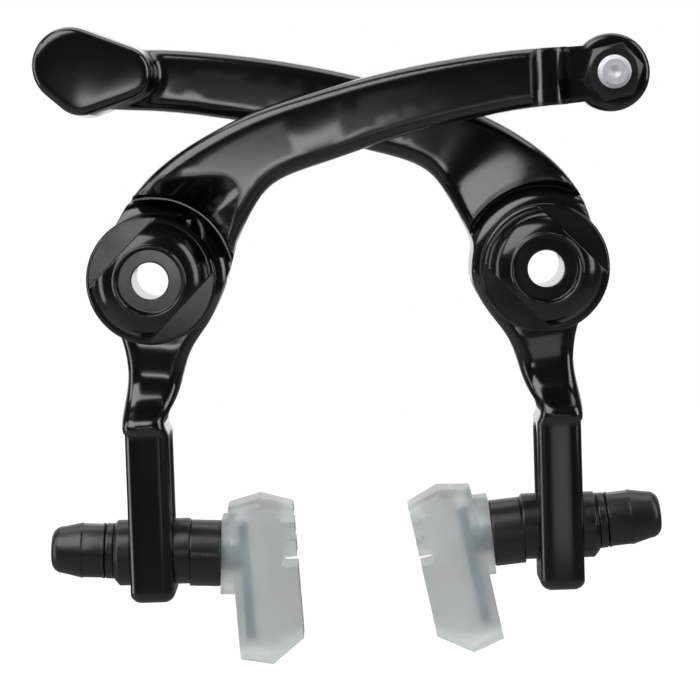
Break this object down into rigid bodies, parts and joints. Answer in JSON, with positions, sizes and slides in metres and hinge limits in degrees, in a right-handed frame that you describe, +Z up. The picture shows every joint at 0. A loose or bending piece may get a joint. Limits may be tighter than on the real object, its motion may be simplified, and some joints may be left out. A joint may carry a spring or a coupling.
{
  "type": "u-brake",
  "caption": "Bicycle U-brake with crossing forged arms on sprung pivots, slotted legs with clear pads on domed washers, and a cable anchor bolt.",
  "frame": {"origin": "midway between the two pivot axes on the mounting plane", "axes": "+X to the right, +Z up, pivot axes along Y, front faces -Y"},
  "size_m": [0.1188, 0.0262, 0.124],
  "materials": {
    "arm_black": "gloss powder coat",
    "steel": "bright zinc",
    "bush": "plain bearing polymer",
    "spring_steel": "drawn wire",
    "cap_black": "satin black anodised",
    "clear_pad": "clear grey moulded compound",
    "washer_black": "black oxide",
    "nut_black": "black"
  },
  "bodies": {
    "pivots": {"left_pivot_sleeve": "steel", "right_pivot_sleeve": "steel"},
    "front_arm": {"front_arm": "arm_black", "left_pivot_bush": "bush", "left_return_spring": "spring_steel", "cable_anchor_bolt": "steel", "cable_anchor_washer": "washer_black", "cable_anchor_nut": "nut_black"},
    "rear_arm": {"rear_arm": "arm_black", "right_pivot_bush": "bush", "right_return_spring": "spring_steel"},
    "left_cap": {"left_tension_cap": "cap_black"},
    "left_carrier": {"left_inner_dome_washer": "washer_black", "left_outer_dome_washer": "washer_black"},
    "left_pad": {"left_brake_pad": "clear_pad", "left_pad_stud": "steel", "left_inner_cup_spacer": "washer_black", "left_outer_cup_washer": "washer_black", "left_pad_nut": "nut_black"},
    "right_cap": {"right_tension_cap": "cap_black"},
    "right_carrier": {"right_inner_dome_washer": "washer_black", "right_outer_dome_washer": "washer_black"},
    "right_pad": {"right_brake_pad": "clear_pad", "right_pad_stud": "steel", "right_inner_cup_spacer": "washer_black", "right_outer_cup_washer": "washer_black", "right_pad_nut": "nut_black"}
  },
  "joints": [
    {"name": "front_arm_pivot", "type": "hinge", "parent": "pivots", "child": "front_arm", "pos_m": [-0.0375, 0, 0], "axis": [0, -1, 0], "range_deg": [-4, 6], "stiffness_Nm_per_rad": 1.2, "deforming": ["left_return_spring"]},
    {"name": "left_cap_turn", "type": "hinge", "parent": "pivots", "child": "left_cap", "pos_m": [-0.0375, 0, 0], "axis": [0, -1, 0], "range_deg": [-45, 45], "deforming": ["left_return_spring"]},
    {"name": "left_pad_slide", "type": "slide", "parent": "front_arm", "child": "left_carrier", "axis": [0, 0, 1], "range_m": [-0.0006, 0.017]},
    {"name": "left_pad_turn", "type": "hinge", "parent": "left_carrier", "child": "left_pad", "pos_m": [-0.0396, -0.01025, -0.0534], "axis": [0.9985, 0, -0.0541], "range_deg": [-20, 20]},
    {"name": "rear_arm_pivot", "type": "hinge", "parent": "pivots", "child": "rear_arm", "pos_m": [0.0375, 0, 0], "axis": [0, 1, 0], "range_deg": [-2, 8], "stiffness_Nm_per_rad": 1.2, "deforming": ["right_return_spring"]},
    {"name": "right_cap_turn", "type": "hinge", "parent": "pivots", "child": "right_cap", "pos_m": [0.0375, 0, 0], "axis": [0, 1, 0], "range_deg": [-45, 45], "deforming": ["right_return_spring"]},
    {"name": "right_pad_slide", "type": "slide", "parent": "rear_arm", "child": "right_carrier", "axis": [0, 0, 1], "range_m": [-0.003, 0.0142]},
    {"name": "right_pad_turn", "type": "hinge", "parent": "right_carrier", "child": "right_pad", "pos_m": [0.0396, -0.01025, -0.0507], "axis": [-0.9962, 0, -0.0872], "range_deg": [-20, 20]}
  ]
}
